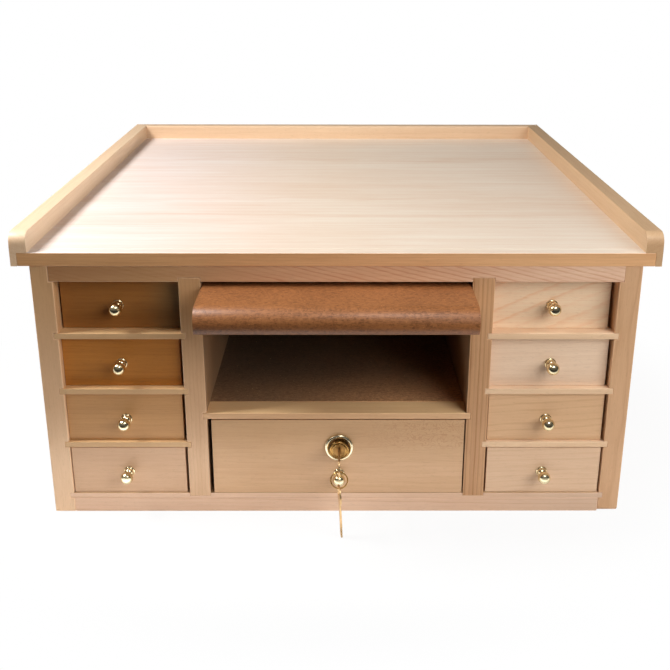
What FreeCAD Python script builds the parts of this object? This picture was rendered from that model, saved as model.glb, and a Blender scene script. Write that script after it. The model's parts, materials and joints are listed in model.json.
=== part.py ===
import FreeCAD, Part
import os
import re
import Sketcher
from FreeCAD import Placement, Rotation, Vector

# A small bench-top workbench for jewellers: a railed worktop on a wooden carcase with two banks of
# four drawers, and between them a pull-out catch tray, an open storage bay and a drawer with a lock.
# Millimetres. X runs to the right, -Y to the front, +Z up, and the origin lies on the ground under
# the middle of the whole bench, catch tray and worktop included.

document = FreeCAD.newDocument("jewelers_bench")
sheet = document.addObject("Spreadsheet::Sheet", "Sizes")

# Driving sizes, then the places that follow from them. A value that starts with = is a formula.
SIZES = (
    ("overall_width", 605, "outer faces of the worktop's side rails"),
    ("side_overhang", 16.5, "worktop beyond the carcase at each side"),
    ("body_depth", 590, "front edge to back edge of the carcase sides"),
    ("body_height", 262, "ground to the underside of the worktop"),
    ("front_overhang", 1, "worktop in front of the carcase"),
    ("back_overhang", 19, "worktop behind the carcase"),
    ("panel_thick", 13, "worktop panel and its lipping"),
    ("lipping_depth", 14, "solid strip along the panel's front edge"),
    ("rail_rise", 19, "rails above the worktop's surface"),
    ("rail_width", 16, "rails seen from above"),
    ("rail_lap", 6, "tongue of a rail that laps down over the panel's edge"),
    ("rail_nose", 11, "radius of the side rails' front top corners"),
    ("side_thick", 20.5, "carcase side boards"),
    ("divider_thick", 21, "upright dividers"),
    ("bay_width", 255, "clear width between the dividers"),
    ("top_rail_height", 15.5, "front and back rails under the worktop"),
    ("top_rail_depth", 62, "the same rails, front to back"),
    ("housing_depth", 4, "grooves that the rails and shelves are let into"),
    ("kick_height", 15.4, "front rail under the bottom board"),
    ("kick_thick", 18, "the same rail, front to back"),
    ("bottom_thick", 5.6, "bottom board"),
    ("divider_foot", 3.3, "how deep the dividers stand in the bottom board"),
    ("corner_round", 5, "radius of the side boards' front bottom corners"),
    ("shelf_thick", 5.7, "shelves between the small drawers"),
    ("back_thick", 5, "plywood back panel"),
    ("back_rebate", 9, "how far the back panel reaches into the sides"),
    ("storage_floor_z", 110.5, "ground to the floor of the storage bay"),
    ("nosing_thick", 6.5, "strip along the front of the storage floor"),
    ("nosing_depth", 27, "the same strip, front to back"),
    ("hardboard", 3.2, "hardboard floors and drawer bottoms"),
    ("drawer_side_clear", 1.8, "gap beside each small drawer"),
    ("off_left_a", -0.1, "share of that gap by which a drawer stands to the right of the middle"),
    ("off_left_b", -0.8, "second row, left"),
    ("off_left_c", -0.8, "third row, left"),
    ("off_left_d", -0.5, "bottom row, left"),
    ("off_right_a", -0.8, "top row, right"),
    ("off_right_b", -0.3, "second row, right"),
    ("off_right_c", -0.4, "third row, right"),
    ("off_right_d", 0.1, "bottom row, right"),
    ("knob_off_left_a", -2.5, "knob, to the right of its drawer's middle"),
    ("knob_off_left_b", -0.5, "second row, left"),
    ("knob_off_left_c", 1, "third row, left"),
    ("knob_off_left_d", -0.5, "bottom row, left"),
    ("knob_off_right_a", 1.3, "top row, right"),
    ("knob_off_right_b", 1.5, "second row, right"),
    ("knob_off_right_c", 0.5, "third row, right"),
    ("knob_off_right_d", -0.8, "bottom row, right"),
    ("knob_drop", 1.8, "small drawers' knobs, below the middle of their fronts"),
    ("drawer_top_clear", 1.4, "gap above each drawer"),
    ("slide_clear", 0.3, "running gap under each drawer and around the tray runners"),
    ("drawer_length", 400, "small drawers, front to back"),
    ("front_thick", 12, "fronts of the small drawers"),
    ("drawer_wall", 8, "drawer sides and backs"),
    ("drawer_rim_drop", 4, "drawer sides below the top of their front"),
    ("groove_height", 4, "drawer bottom above the sides' lower edge"),
    ("groove_depth", 4, "how far a drawer bottom reaches into its grooves"),
    ("recess_row_a", 15, "top row of drawer fronts behind the carcase's front edges"),
    ("recess_row_b", 8, "second row"),
    ("recess_row_c", 4, "third row"),
    ("recess_row_d", 2, "bottom row"),
    ("knob_flange", 5.7, "radius of a knob's foot"),
    ("knob_flange_thick", 1.4, "the foot's thickness"),
    ("knob_bead", 4.8, "radius of the bead on the foot"),
    ("knob_neck", 2.8, "radius of the neck"),
    ("knob_reach", 13.2, "drawer front to the middle of the ball"),
    ("knob_ball", 6.2, "radius of the ball"),
    ("screw_radius", 1.7, "knob screw"),
    ("screw_depth", 8, "depth of the knob's hole for the screw"),
    ("screw_gap", 1, "empty end of that hole"),
    ("screw_hole", 1.8, "radius of the screw's hole"),
    ("screw_head", 4, "radius of the screw's head"),
    ("screw_head_thick", 1.8, "the head's thickness"),
    ("large_side_clear", 2.5, "half the play beside the large drawer"),
    ("large_shift", 1.3, "large drawer's middle, to the right of the bay's middle"),
    ("large_recess", 1, "large drawer behind the carcase's front edges"),
    ("large_front_thick", 15, "its front"),
    ("large_wall", 10, "its sides and back"),
    ("large_length", 480, "its length, front to back"),
    ("large_rim_drop", 8, "its sides below the top of its front"),
    ("large_knob_x", 2.3, "its knob, from the bay's middle"),
    ("large_knob_rise", 21.5, "its knob, above its underside"),
    ("lock_x", 2.4, "lock, from the bay's middle"),
    ("lock_rise", 51.5, "lock, above the large drawer's underside"),
    ("barrel_radius", 9.1, "lock barrel"),
    ("barrel_reach", 9, "barrel in front of the drawer"),
    ("ring_outer", 14.4, "outer radius of the lock's ring plate"),
    ("ring_inner", 10.3, "inner radius of the ring plate"),
    ("ring_base", 1.2, "flat foot of the ring plate, under its round bead"),
    ("plug_radius", 6, "lock plug"),
    ("plug_clear", 0.08, "running gap around the plug"),
    ("plug_sink", 0.8, "plug's face behind the barrel's face"),
    ("nut_radius", 13, "lock nut, over its corners"),
    ("nut_thick", 3, "lock nut"),
    ("cam_clear", 0.5, "gap between the raised cam and the storage floor"),
    ("cam_width", 11, "cam"),
    ("cam_thick", 2, "cam"),
    ("cam_hub", 7, "radius of the cam around the plug"),
    ("cam_behind", 1.2, "cam behind the back of the nosing"),
    ("cam_screw_head", 4.2, "radius of the cam screw's head"),
    ("key_length", 55.4, "whole key"),
    ("key_thick", 1.8, "key blank"),
    ("key_bow", 10, "radius of the key's bow"),
    ("key_hole", 4, "radius of the hole in the bow"),
    ("key_hole_inset", 6, "hole's middle from the end of the bow"),
    ("key_blade", 7, "height of the blade"),
    ("key_bite", 2, "depth of the notches in the blade"),
    ("key_bite_pitch", 3.4, "spacing of the notches"),
    ("key_in_plug", 13, "how deep the key stands in the plug"),
    ("keyway_clear", 0.1, "running gap around the blade"),
    ("wire_radius", 0.7, "wire of the key ring"),
    ("wire_loop", 8, "key ring, from its middle to the middle of its wire"),
    ("wire_clear", 0.2, "gap between the wire and a key's hole"),
    ("wire_lean", 12, "degrees by which the key ring leans forward"),
    ("spare_tilt", 2.5, "degrees by which the spare key hangs out of plumb"),
    ("spare_turn", 7, "degrees by which its flat side turns to the front"),
    ("tray_drop", 4.5, "top of the catch tray, below the rails under the worktop"),
    ("tray_height", 24, "tray, top to bottom"),
    ("tray_reach", 66, "tray in front of the carcase"),
    ("tray_round", 14, "radius of the tray's rolled front edge"),
    ("tray_rim", 22, "rolled apron's back edge, behind the carcase's front"),
    ("tray_side_clear", 1, "gap beside the tray"),
    ("tray_length", 420, "tray behind the carcase's front, to its back"),
    ("tray_wall", 14, "tray sides, front and back"),
    ("tray_skin", 4, "bent hardboard apron"),
    ("tray_floor_rise", 2, "tray floor above the tray's underside"),
    ("runner_height", 8, "tray runners"),
    ("runner_width", 8, "tray runners, out from the dividers"),
    ("runner_depth", 500, "tray runners, front to back"),
    ("runner_inset", 24, "front ends of the runners behind the carcase's front"),
    ("track_clear", 0.5, "gap between a runner's inner face and its groove in the tray"),
    # Places, and sizes that follow from the others.
    ("body_width", "=overall_width-2*side_overhang", "outer faces of the carcase sides"),
    ("front_y", "=(tray_reach-body_depth-back_overhang)/2", "front edges of the carcase"),
    ("back_y", "=front_y+body_depth", "back edges of the carcase"),
    ("side_inner", "=body_width/2-side_thick", "inner faces of the sides"),
    ("divider_inner", "=bay_width/2", "faces of the dividers toward the bay"),
    ("divider_outer", "=bay_width/2+divider_thick", "faces of the dividers toward the drawers"),
    ("bank_width", "=side_inner-divider_outer", "clear width of a bank of drawers"),
    ("panel_half", "=overall_width/2-rail_lap", "half the worktop panel's width"),
    ("worktop_front", "=front_y-front_overhang", "front of the worktop"),
    ("worktop_back", "=back_y+back_overhang", "back of the worktop"),
    ("worktop_depth", "=worktop_back-worktop_front", "worktop, front to back"),
    ("rail_bottom", "=body_height-top_rail_height", "underside of the top rails"),
    ("bottom_z", "=kick_height+bottom_thick", "upper face of the bottom board"),
    ("inner_depth", "=body_depth-back_thick", "front edges to the back panel"),
    ("opening_height", "=(rail_bottom-bottom_z-3*shelf_thick)/4", "clear height for a small drawer"),
    ("opening_pitch", "=opening_height+shelf_thick", "one small drawer to the next"),
    ("small_width", "=bank_width-2*drawer_side_clear", "front of a small drawer"),
    ("small_height", "=opening_height-slide_clear-drawer_top_clear", "front of a small drawer"),
    ("nosing_z", "=storage_floor_z-nosing_thick", "underside of the nosing"),
    ("large_base_z", "=bottom_z+slide_clear", "underside of the large drawer"),
    ("large_height", "=nosing_z-large_base_z-drawer_top_clear", "front of the large drawer"),
    ("large_width", "=bay_width-2*large_side_clear", "front of the large drawer"),
    ("large_knob_z", "=large_base_z+large_knob_rise", "middle of the large drawer's knob"),
    ("lock_z", "=large_base_z+lock_rise", "axis of the lock"),
    ("cam_radius", "=storage_floor_z-hardboard-cam_clear-lock_z", "reach of the cam from its axis"),
    ("large_face", "=front_y+large_recess", "face of the large drawer"),
    ("cam_y", "=front_y+nosing_depth+cam_behind", "front face of the cam"),
    ("key_end_y", "=large_face-barrel_reach+plug_sink+key_in_plug-key_length", "end of the bow"),
    ("key_bow_y", "=key_end_y+key_bow", "middle of the key's bow"),
    ("wire_y", "=key_end_y+key_hole_inset", "key ring's wire in the key's hole"),
    ("wire_z", "=lock_z-key_hole+wire_radius+wire_clear", "key ring's wire in the key's hole"),
    ("wire_low_y", "=wire_y-2*wire_loop*sin(wire_lean)", "lowest point of the key ring's wire"),
    ("wire_low_z", "=wire_z-2*wire_loop*cos(wire_lean)", "lowest point of the key ring's wire"),
    ("tray_half", "=bay_width/2-tray_side_clear", "half the tray's width"),
    ("tray_top_z", "=rail_bottom-tray_drop", "top of the tray"),
    ("tray_bottom_z", "=tray_top_z-tray_height", "underside of the tray"),
    ("tray_floor_z", "=tray_bottom_z+tray_floor_rise", "underside of the tray's floor"),
    ("track_depth", "=runner_width-tray_side_clear+track_clear", "grooves in the tray's sides"),
    ("runner_z", "=tray_bottom_z+(tray_height-runner_height)/2", "underside of the tray runners"),
)
for row, (alias, value, note) in enumerate(SIZES, start=1):
    sheet.set(f"A{row}", alias)
    sheet.set(f"B{row}", str(value))
    sheet.set(f"C{row}", note)
    sheet.setAlias(f"B{row}", alias)
document.recompute()

WORDS = {alias for alias, _, _ in SIZES}
ALONG_Y = Rotation(Vector(1, 0, 0), 90)  # turns a primitive's own axis from +Z to the front, -Y
ALONG_X = Rotation(Vector(0, 1, 0), 90)  # turns it from +Z to the right, +X
MARGIN = "5"  # how far a cutting tool stands out of the wood
nodes = []  # the finished sub-parts


def linked(formula):
    """The formula with each named size looked up in the sheet."""
    return re.sub(r"[a-z_]+", lambda word: "Sizes." + word[0] if word[0] in WORDS else word[0], formula)


def bind(item, **formulas):
    for name, formula in formulas.items():
        item.setExpression(name, linked(formula))


def place(item, at, turn=None):
    """Bind an object's place to three formulas, after an optional fixed turn."""
    if turn is not None:
        item.Placement = Placement(Vector(), turn)
    for axis, formula in zip("xyz", at):
        item.setExpression(f"Placement.Base.{axis}", linked(formula))


def block(name, at, size):
    """A box from its lowest corner and its size along X, Y and Z."""
    item = document.addObject("Part::Box", name)
    bind(item, Length=size[0], Width=size[1], Height=size[2])
    place(item, at)
    return item


def rod(name, at, radius, length, turn=ALONG_Y):
    """A round bar that starts at a point and runs to the front, or along another turn's axis."""
    item = document.addObject("Part::Cylinder", name)
    bind(item, Radius=radius, Height=length)
    place(item, at, turn)
    return item


def ball(name, at, radius):
    item = document.addObject("Part::Sphere", name)
    bind(item, Radius=radius)
    place(item, at)
    return item


def join(name, *pieces):
    item = document.addObject("Part::MultiFuse", name)
    item.Shapes = list(pieces)
    return item


def cut(name, base, *tools):
    item = document.addObject("Part::Cut", name)
    item.Base = base
    item.Tool = tools[0] if len(tools) == 1 else join(name + "_tools", *tools)
    return item


def group(name, *pieces):
    """Separate solids that share one node."""
    item = document.addObject("Part::Compound", name)
    item.Links = list(pieces)
    return item


def finish(item, label):
    item.Label = label
    nodes.append(item)
    return item


def origin_plane(body, role):
    return next(feature for feature in body.Origin.OriginFeatures if feature.Role == role)


def outline(body, name, role, corners):
    """A closed sketch of straight lines. Each corner is two formulas, none below zero."""
    sketch = body.newObject("Sketcher::SketchObject", name)
    sketch.AttachmentSupport = [(origin_plane(body, role), "")]
    sketch.MapMode = "FlatFace"
    count = len(corners)
    rough = [Vector(sheet_value(x), sheet_value(y)) for x, y in corners]
    for index in range(count):
        sketch.addGeometry(Part.LineSegment(rough[index], rough[(index + 1) % count]))
    for index in range(count):
        sketch.addConstraint(Sketcher.Constraint("Coincident", index, 2, (index + 1) % count, 1))
    for index, corner in enumerate(corners):
        for kind, axis, formula in (("DistanceX", -2, corner[0]), ("DistanceY", -1, corner[1])):
            if formula == "0":
                sketch.addConstraint(Sketcher.Constraint("PointOnObject", index, 1, axis))
                continue
            value = sheet_value(formula)
            number = sketch.addConstraint(Sketcher.Constraint(kind, -1, 1, index, 1, value))
            sketch.setExpression(f"Constraints[{number}]", linked(formula))
    return sketch


def sheet_value(formula):
    """The number that a formula gives now, for a sketch's first rough shape."""
    return float(sheet.evalExpression(linked(formula)))


def pad(body, name, sketch, length):
    feature = body.newObject("PartDesign::Pad", name)
    feature.Profile = sketch
    bind(feature, Length=length)
    sketch.Visibility = False
    return feature


def round_edges(body, name, base, chosen, radius):
    """Fillet the edges of a feature that a test of their middle and direction picks."""
    document.recompute()
    names = [f"Edge{number}" for number, edge in enumerate(base.Shape.Edges, start=1) if chosen(edge)]
    feature = body.newObject("PartDesign::Fillet", name)
    feature.Base = (base, names)
    bind(feature, Radius=radius)
    return feature


# ---- Worktop ------------------------------------------------------------------------------------

def worktop_rail(label, at, corners, nose=False):
    """A rail over the panel's edge: its mitred plan raised, then the corner cleared for the panel."""
    body = document.addObject("PartDesign::Body", label + "_body")
    place(body, at)
    plan = outline(body, label + "_plan", "XY_Plane", corners)
    raised = pad(body, label + "_raised", plan, "panel_thick+rail_rise")
    if nose:
        def front_top(edge):
            middle = edge.CenterOfMass
            return abs(middle.y) < 1e-6 and abs(middle.z - raised.Shape.BoundBox.ZMax) < 1e-6
        round_edges(body, label + "_nose", raised, front_top, "rail_nose")
    return body


def worktop():
    lipping = block("lipping", ("-panel_half", "worktop_front", "body_height"),
                    ("2*panel_half", "lipping_depth", "panel_thick"))
    finish(lipping, "worktop_lipping")
    panel = block("panel", ("-panel_half", "worktop_front+lipping_depth", "body_height"),
                  ("2*panel_half", "worktop_depth-lipping_depth-rail_lap", "panel_thick"))
    finish(panel, "worktop_panel")
    mitre = "worktop_depth-rail_width"
    left = worktop_rail(
        "rail_left", ("-overall_width/2", "worktop_front", "body_height"),
        (("0", "0"), ("rail_width", "0"), ("rail_width", mitre), ("0", "worktop_depth")), nose=True)
    right = worktop_rail(
        "rail_right", ("overall_width/2-rail_width", "worktop_front", "body_height"),
        (("0", "0"), ("rail_width", "0"), ("rail_width", "worktop_depth"), ("0", mitre)), nose=True)
    back = worktop_rail(
        "rail_back", ("-overall_width/2", "worktop_back-rail_width", "body_height"),
        (("rail_width", "0"), ("overall_width-rail_width", "0"),
         ("overall_width", "rail_width"), ("0", "rail_width")))
    for label, body in (("worktop_rail_left", left), ("worktop_rail_right", right),
                        ("worktop_rail_back", back)):
        under = block(label + "_rebate",
                      ("-panel_half", f"worktop_front-{MARGIN}", f"body_height-{MARGIN}"),
                      ("2*panel_half", f"worktop_depth-rail_lap+{MARGIN}", f"panel_thick+{MARGIN}"))
        finish(cut(label + "_cut", body, under), label)


# ---- Carcase ------------------------------------------------------------------------------------

def shelf_z(number):
    """Underside of a shelf; number 1 is the top one."""
    return f"bottom_z+{4 - number}*opening_height+{3 - number}*shelf_thick"


def side_board(label, sign):
    outer = "-body_width/2" if sign < 0 else "side_inner"
    groove = "-side_inner-housing_depth" if sign < 0 else "side_inner"
    blank = block(label + "_blank", (outer, "front_y", "0"), ("side_thick", "body_depth", "body_height"))
    run = f"inner_depth+{MARGIN}"
    start = f"front_y-{MARGIN}"
    rail = f"top_rail_height+{MARGIN}"
    tools = [
        block(label + "_rail_front", (groove, start, "rail_bottom"),
              ("housing_depth", f"top_rail_depth+{MARGIN}", rail)),
        block(label + "_rail_back", (groove, "back_y-back_thick-top_rail_depth", "rail_bottom"),
              ("housing_depth", "top_rail_depth", rail)),
        block(label + "_bottom", (groove, start, "kick_height"), ("housing_depth", run, "bottom_thick")),
    ]
    for number in (1, 2, 3):
        tools.append(block(f"{label}_housing_{number}", (groove, start, shelf_z(number)),
                           ("housing_depth", run, "shelf_thick")))
    rebate = "-side_inner-back_rebate" if sign < 0 else "side_inner"
    tools.append(block(label + "_rebate", (rebate, "back_y-back_thick", f"0-{MARGIN}"),
                       ("back_rebate", f"back_thick+{MARGIN}", f"body_height+2*{MARGIN}")))
    finish(cut(label + "_cut", blank, *tools), label)


def rounded_side_board():
    """The right side board, whose front bottom corner is worn round."""
    side_board("side_right", 1)
    board = nodes.pop()
    waste = block("corner_waste", ("side_inner", f"front_y-{MARGIN}", f"0-{MARGIN}"),
                  ("side_thick", f"corner_round+{MARGIN}", f"corner_round+{MARGIN}"))
    round_bar = rod("corner_bar", ("side_inner", "front_y+corner_round", "corner_round"),
                    "corner_round", "side_thick", ALONG_X)
    board.Label = "side_right_square"
    finish(cut("side_right_rounded", board, cut("corner_tool", waste, round_bar)), "side_right")


def divider(label, sign):
    left = "-divider_outer" if sign < 0 else "divider_inner"
    outer = "-divider_outer" if sign < 0 else "divider_outer-housing_depth"
    inner = "-divider_inner-housing_depth" if sign < 0 else "divider_inner"
    foot = "bottom_z-divider_foot"
    blank = block(label + "_blank", (left, "front_y", foot),
                  ("divider_thick", "inner_depth", f"rail_bottom-({foot})+housing_depth"))
    run = f"inner_depth+2*{MARGIN}"
    start = f"front_y-{MARGIN}"
    tools = [block(f"{label}_housing_{number}", (outer, start, shelf_z(number)),
                   ("housing_depth", run, "shelf_thick")) for number in (1, 2, 3)]
    tools.append(block(label + "_nosing", (inner, start, "nosing_z"),
                       ("housing_depth", f"nosing_depth+{MARGIN}", "nosing_thick")))
    tools.append(block(label + "_floor", (inner, start, "storage_floor_z-hardboard"),
                       ("housing_depth", run, "hardboard")))
    tools.append(block(label + "_gap", (left, "front_y+top_rail_depth", "rail_bottom"),
                       ("divider_thick", "inner_depth-2*top_rail_depth", "body_height")))
    finish(cut(label + "_cut", blank, *tools), label)


def top_rail(label, start):
    """A rail under the worktop, let into the sides, with notches over the dividers."""
    blank = block(label + "_blank", ("-side_inner-housing_depth", start, "rail_bottom"),
                  ("2*(side_inner+housing_depth)", "top_rail_depth", "top_rail_height"))
    notches = [block(f"{label}_notch_{word}", (x, f"{start}-{MARGIN}", f"rail_bottom-{MARGIN}"),
                     ("divider_thick", f"top_rail_depth+2*{MARGIN}", f"housing_depth+{MARGIN}"))
               for word, x in (("left", "-divider_outer"), ("right", "divider_inner"))]
    finish(cut(label + "_cut", blank, *notches), label)


def shelves(label, sign):
    """Three shelves that carry the upper drawers of one bank."""
    left = "-side_inner-housing_depth" if sign < 0 else "divider_outer-housing_depth"
    boards = [block(f"{label}_{number}", (left, "front_y", shelf_z(number)),
                    ("bank_width+2*housing_depth", "inner_depth", "shelf_thick")) for number in (1, 2, 3)]
    finish(group(label + "_set", *boards), label)


def carcase():
    side_board("side_left", -1)
    rounded_side_board()
    divider("divider_left", -1)
    divider("divider_right", 1)
    top_rail("top_front_rail", "front_y")
    top_rail("top_back_rail", "back_y-back_thick-top_rail_depth")
    shelves("shelves_left", -1)
    shelves("shelves_right", 1)
    board = block("bottom_blank", ("-side_inner-housing_depth", "front_y", "kick_height"),
                  ("2*(side_inner+housing_depth)", "inner_depth", "bottom_thick"))
    grooves = [block(f"bottom_groove_{word}", (x, f"front_y-{MARGIN}", "bottom_z-divider_foot"),
                     ("divider_thick", f"inner_depth+2*{MARGIN}", f"divider_foot+{MARGIN}"))
               for word, x in (("left", "-divider_outer"), ("right", "divider_inner"))]
    finish(cut("bottom_cut", board, *grooves), "bottom_board")
    kick = block("kick", ("-side_inner", "front_y", "0"), ("2*side_inner", "kick_thick", "kick_height"))
    finish(kick, "bottom_front_rail")
    back = block("back", ("-side_inner-back_rebate", "back_y-back_thick", "0"),
                 ("2*(side_inner+back_rebate)", "back_thick", "body_height"))
    finish(back, "back_panel")
    nosing = block("nosing", ("-divider_inner-housing_depth", "front_y", "nosing_z"),
                   ("bay_width+2*housing_depth", "nosing_depth", "nosing_thick"))
    finish(nosing, "storage_nosing")
    floor = block("floor", ("-divider_inner-housing_depth", "front_y+nosing_depth",
                            "storage_floor_z-hardboard"),
                  ("bay_width+2*housing_depth", "inner_depth-nosing_depth", "hardboard"))
    finish(floor, "storage_floor")


# ---- Drawers ------------------------------------------------------------------------------------

def knob(label, x, face, z, front):
    """A turned knob on the face of a drawer, with the screw that holds it from inside."""
    foot = rod(label + "_foot", (x, face, z), "knob_flange", "knob_flange_thick")
    bead = ball(label + "_bead", (x, f"{face}-knob_flange_thick", z), "knob_bead")
    neck = rod(label + "_neck", (x, face, z), "knob_neck", "knob_reach")
    head = ball(label + "_ball", (x, f"{face}-knob_reach", z), "knob_ball")
    behind = block(label + "_behind", (f"{x}-2*knob_bead", face, f"{z}-2*knob_bead"),
                   ("4*knob_bead", "4*knob_bead", "4*knob_bead"))
    turned = cut(label + "_turned", join(label + "_form", foot, bead, neck, head), behind)
    hole = rod(label + "_hole", (x, f"{face}+{MARGIN}", z), "screw_hole", f"screw_depth+{MARGIN}")
    brass = cut(label + "_brass", turned, hole)
    shank = rod(label + "_shank", (x, f"{face}+{front}", z), "screw_radius", f"{front}+screw_depth-screw_gap")
    cap = rod(label + "_cap", (x, f"{face}+{front}+screw_head_thick", z), "screw_head", "screw_head_thick")
    finish(group(label + "_set", brass, join(label + "_screw", shank, cap)), label)


def drawer(label, x, width, face, z, height, sizes, bores):
    """A drawer: a front, and a box of two sides, a back and a bottom that stands in grooves."""
    front, wall, length, drop = sizes
    low = f"{z}+groove_height"
    floor_size = (f"{width}-2*({wall}-groove_depth)", f"{length}-{front}+groove_depth", "hardboard")
    floor = block(label + "_floor", (f"{x}+{wall}-groove_depth", f"{face}+{front}-groove_depth", low),
                  floor_size)
    groove_size = (floor_size[0], f"{length}+{MARGIN}", "hardboard")
    pieces = []
    blank = block(label + "_front_blank", (x, face, z), (width, front, height))
    slot = block(label + "_front_slot", (f"{x}+{wall}-groove_depth", f"{face}+{front}-groove_depth", low),
                 groove_size)
    holes = [rod(f"{label}_bore_{number}", (bore[0], f"{face}+{front}+{MARGIN}", bore[1]), bore[2],
                 f"{front}+2*{MARGIN}") for number, bore in enumerate(bores)]
    finish(cut(label + "_front_cut", blank, slot, *holes), label + "_front")
    for word, left in (("left", x), ("right", f"{x}+{width}-{wall}")):
        board = block(f"{label}_{word}_blank", (left, f"{face}+{front}", z),
                      (wall, f"{length}-{front}", f"{height}-{drop}"))
        groove = block(f"{label}_{word}_groove",
                       (f"{x}+{wall}-groove_depth", f"{face}+{front}-groove_depth", low), groove_size)
        pieces.append(cut(f"{label}_{word}", board, groove))
    pieces.append(block(label + "_back", (f"{x}+{wall}", f"{face}+{length}-{wall}", f"{low}+hardboard"),
                        (f"{width}-2*{wall}", wall, f"{height}-{drop}-groove_height-hardboard")))
    return pieces, floor


def small_drawer(side, sign, row):
    """One of the eight small drawers; rows a to d run from the top to the bottom."""
    label = f"drawer_{side}_{row}"
    number = "abcd".index(row) + 1
    wall = "-side_inner" if sign < 0 else "divider_outer"
    left = f"{wall}+(1+off_{side}_{row})*drawer_side_clear"
    base = f"bottom_z+slide_clear+{4 - number}*opening_pitch"
    face = f"front_y+recess_row_{row}"
    knob_x = f"{left}+small_width/2+knob_off_{side}_{row}"
    height = f"{base}+small_height/2-knob_drop"
    bore = (knob_x, height, "screw_hole")
    pieces, floor = drawer(label, left, "small_width", face, base, "small_height",
                           ("front_thick", "drawer_wall", "drawer_length", "drawer_rim_drop"), [bore])
    finish(group(label + "_box_set", *pieces, floor), label + "_box")
    knob(label + "_knob", knob_x, face, height, "front_thick")


def large_drawer():
    left = "large_shift-large_width/2"
    bores = [("large_knob_x", "large_knob_z", "screw_hole"), ("lock_x", "lock_z", "barrel_radius")]
    pieces, floor = drawer("large_drawer", left, "large_width", "large_face", "large_base_z", "large_height",
                           ("large_front_thick", "large_wall", "large_length", "large_rim_drop"), bores)
    for piece, word in zip(pieces, ("side_left", "side_right", "back")):
        finish(piece, "large_drawer_" + word)
    finish(floor, "large_drawer_bottom")
    knob("large_drawer_knob", "large_knob_x", "large_face", "large_knob_z", "large_front_thick")


# ---- Lock and keys ------------------------------------------------------------------------------

def lock():
    axis = ("lock_x", "lock_z")
    rear = "cam_y-slide_clear"
    barrel = rod("barrel_blank", (axis[0], rear, axis[1]), "barrel_radius",
                 f"{rear}-large_face+barrel_reach")
    bore = rod("barrel_bore", (axis[0], f"{rear}+{MARGIN}", axis[1]), "plug_radius+plug_clear",
               f"{rear}-large_face+barrel_reach+2*{MARGIN}")
    finish(cut("barrel_cut", barrel, bore), "lock_barrel")

    plate = rod("plate_foot", (axis[0], "large_face", axis[1]), "ring_outer", "ring_base")
    bead = document.addObject("Part::Torus", "plate_bead")
    bind(bead, Radius1="(ring_outer+ring_inner)/2", Radius2="(ring_outer-ring_inner)/2")
    place(bead, (axis[0], "large_face-ring_base", axis[1]), ALONG_Y)
    hole = rod("plate_hole", (axis[0], f"large_face+{MARGIN}", axis[1]), "ring_inner",
               f"ring_base+{MARGIN}")
    behind = block("plate_behind", (f"{axis[0]}-2*ring_outer", "large_face", f"{axis[1]}-2*ring_outer"),
                   ("4*ring_outer", "ring_outer", "4*ring_outer"))
    ring = join("plate_ring", cut("plate_tube", plate, hole), bead)
    finish(cut("plate_cut", ring, behind), "lock_ring_plate")

    nut = document.addObject("Part::Prism", "nut_blank")
    nut.Polygon = 6
    bind(nut, Circumradius="nut_radius", Height="nut_thick")
    place(nut, (axis[0], "large_face+large_front_thick+nut_thick", axis[1]), ALONG_Y)
    thread = rod("nut_hole", (axis[0], "large_face+large_front_thick+2*nut_thick", axis[1]),
                 "barrel_radius", "3*nut_thick")
    finish(cut("nut_cut", nut, thread), "lock_nut")

    face = "large_face-barrel_reach+plug_sink"
    plug = rod("plug_blank", (axis[0], "cam_y", axis[1]), "plug_radius", f"cam_y-({face})")
    half_slot = "(key_thick/2+keyway_clear)"
    keyway = block("keyway", (f"{axis[0]}-{half_slot}", f"{face}-{MARGIN}",
                              f"{axis[1]}-key_blade/2-keyway_clear"),
                   (f"2*{half_slot}", f"key_in_plug+keyway_clear+{MARGIN}", "key_blade+2*keyway_clear"))
    finish(cut("plug_cut", plug, keyway), "lock_plug")

    arm = block("cam_arm", (f"{axis[0]}-cam_radius+cam_width/2", "cam_y", f"{axis[1]}-cam_width/2"),
                ("cam_radius-cam_width/2", "cam_thick", "cam_width"))
    tip = rod("cam_tip", (f"{axis[0]}-cam_radius+cam_width/2", "cam_y+cam_thick", axis[1]),
              "cam_width/2", "cam_thick")
    hub = rod("cam_hub", (axis[0], "cam_y+cam_thick", axis[1]), "cam_hub", "cam_thick")
    screw = rod("cam_screw", (axis[0], "cam_y+2*cam_thick", axis[1]), "cam_screw_head", "cam_thick")
    finish(group("cam_set", join("cam_plate", arm, tip, hub), screw), "lock_cam")


def key(label, turn, at):
    """A flat key, bow in front: its own +Y runs to the tip of the blade, and it lies in Y and Z."""
    bow = rod(label + "_bow", ("-key_thick/2", "0", "0"), "key_bow", "key_thick", ALONG_X)
    blade = block(label + "_blade", ("-key_thick/2", "0", "-key_blade/2"),
                  ("key_thick", "key_length-key_bow", "key_blade"))
    hole = rod(label + "_hole", ("-key_thick", "key_hole_inset-key_bow", "0"), "key_hole",
               "2*key_thick", ALONG_X)
    bites = []
    for number in range(3):
        bite = document.addObject("Part::Box", f"{label}_bite_{number}")
        bind(bite, Length="2*key_thick", Width="key_bite*sqrt(2)", Height="key_bite*sqrt(2)")
        along = f"key_length-key_bow-key_bite-{number}*key_bite_pitch"
        place(bite, ("-key_thick", along, "-key_blade/2-key_bite"), Rotation(Vector(1, 0, 0), 45))
        bites.append(bite)
    item = cut(label + "_cut", join(label + "_blank", bow, blade), hole, *bites)
    place(item, at, turn)
    finish(item, label)


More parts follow.
